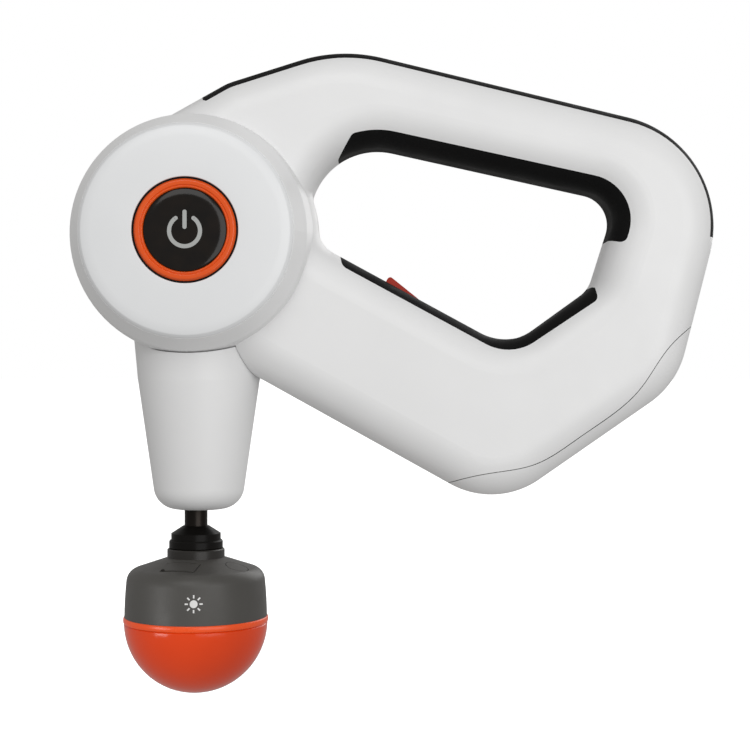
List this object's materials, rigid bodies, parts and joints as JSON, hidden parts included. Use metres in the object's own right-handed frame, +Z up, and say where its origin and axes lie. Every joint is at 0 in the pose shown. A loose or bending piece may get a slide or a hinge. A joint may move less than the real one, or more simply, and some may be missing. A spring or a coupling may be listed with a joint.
{
  "type": "percussion massage gun",
  "caption": "Percussion massage gun with a closed loop handle, a round head with a lit button, a tilting tapered nose and a half round massage ball on a short shaft.",
  "frame": {"origin": "middle of the upper grip bar, where a hand holds the gun", "axes": "+X from the head to the rear of the handle, +Y to the side without the button, +Z up, away from the massage ball"},
  "size_m": [0.2426, 0.0729, 0.2444],
  "materials": {
    "shell_white": "fine satin",
    "cap_white": "smooth satin",
    "grip_black": "soft matte",
    "orange_gloss": "glossy",
    "button_black": "glossy",
    "button_red": "satin",
    "mark_white": "printed",
    "dome_dark": "fine matte",
    "collar_black": "satin",
    "shaft_dark": "black oxide",
    "steel": "ground",
    "stator_iron": "laminated",
    "bronze": "machined",
    "alloy": "machined",
    "cell_wrap": "shrink wrap over the can",
    "board_green": "solder resist"
  },
  "bodies": {
    "handle": {"near_shell": "shell_white", "far_shell": "shell_white", "upper_grip": "grip_black", "lower_grip": "grip_black", "top_strip": "grip_black", "near_side_cap": "cap_white", "far_side_cap": "cap_white", "ring_gasket": "grip_black", "light_ring": "orange_gloss", "near_pivot_bush": "bronze", "far_pivot_bush": "bronze", "detent_ring": "steel", "shell_screws": "steel", "control_board": "board_green", "board_parts": "board_green", "tact_switch": "board_green", "battery_terminal": "dome_dark", "power_button_pin": "steel"},
    "nose": {"arm_shell_near": "shell_white", "arm_shell_far": "shell_white", "arm_screws": "steel", "detent_ball": "steel", "detent_spring": "steel", "shaft_bush_upper": "bronze", "shaft_bush_lower": "bronze", "shaft_seal": "grip_black", "motor_mount": "alloy", "motor_stator": "stator_iron", "motor_bearings": "steel"},
    "rotor": {"motor_rotor": "steel", "rotor_magnets": "steel", "motor_shaft": "steel", "crank_disc": "steel", "crank_pin": "steel", "crank_roller": "steel"},
    "plunger": {"yoke": "steel", "yoke_pin": "steel", "output_shaft": "shaft_dark"},
    "massage_ball": {"lock_collar": "collar_black", "lock_ring": "collar_black", "base_ring": "dome_dark", "dome_housing": "dome_dark", "charge_socket": "dome_dark", "rim_ring": "orange_gloss", "ball_cap": "orange_gloss", "warming_plate": "alloy", "ball_battery": "cell_wrap", "ball_board": "board_green"},
    "port_cover": {"port_flap": "dome_dark"},
    "warm_button": {"heat_button": "dome_dark"},
    "tilt_button": {"head_button": "button_black", "head_button_clip": "steel"},
    "power_key": {"power_button": "button_red", "power_button_tick": "mark_white"},
    "battery_pack": {"battery_cover": "shell_white", "cell_cradle": "dome_dark", "battery_cells": "cell_wrap", "pack_contacts": "bronze"}
  },
  "joints": [
    {"name": "arm_tilt", "type": "hinge", "parent": "handle", "child": "nose", "pos_m": [-0.105, 0, -0.0446], "axis": [0, 1, 0], "range_deg": [0, 90]},
    {"name": "crank_spin", "type": "hinge", "parent": "nose", "child": "rotor", "pos_m": [-0.105, 0, -0.0446], "axis": [0, 1, 0], "range_deg": [0, 180]},
    {"name": "shaft_stroke", "type": "slide", "parent": "nose", "child": "plunger", "axis": [0, 0, -1], "range_m": [0, 0.016]},
    {"name": "ball_pull", "type": "slide", "parent": "plunger", "child": "massage_ball", "axis": [0, 0, -1], "range_m": [0, 0.03]},
    {"name": "port_flap_open", "type": "hinge", "parent": "massage_ball", "child": "port_cover", "pos_m": [-0.10831, -0.01326, -0.16872], "axis": [-0.9703, 0.2419, 0], "range_deg": [0, 90]},
    {"name": "warm_press", "type": "slide", "parent": "massage_ball", "child": "warm_button", "axis": [-0.2749, 0.1524, -0.9493], "range_m": [0, 0.0008], "stiffness_N_per_m": 500, "springref_m": -0.0006},
    {"name": "tilt_button_press", "type": "slide", "parent": "handle", "child": "tilt_button", "axis": [0, 1, 0], "range_m": [0, 0.003], "stiffness_N_per_m": 700, "springref_m": -0.002},
    {"name": "power_press", "type": "hinge", "parent": "handle", "child": "power_key", "pos_m": [-0.02107, 0, -0.06932], "axis": [0, -1, 0], "range_deg": [0, 7], "stiffness_Nm_per_rad": 0.06, "springref_deg": -5.73},
    {"name": "pack_slide", "type": "slide", "parent": "handle", "child": "battery_pack", "axis": [0.5692, 0, -0.8222], "range_m": [0, 0.045]}
  ],
  "couplings": [
    {"joint": "shaft_stroke", "follows": "crank_spin", "m_per_rad": 0.00509}
  ]
}
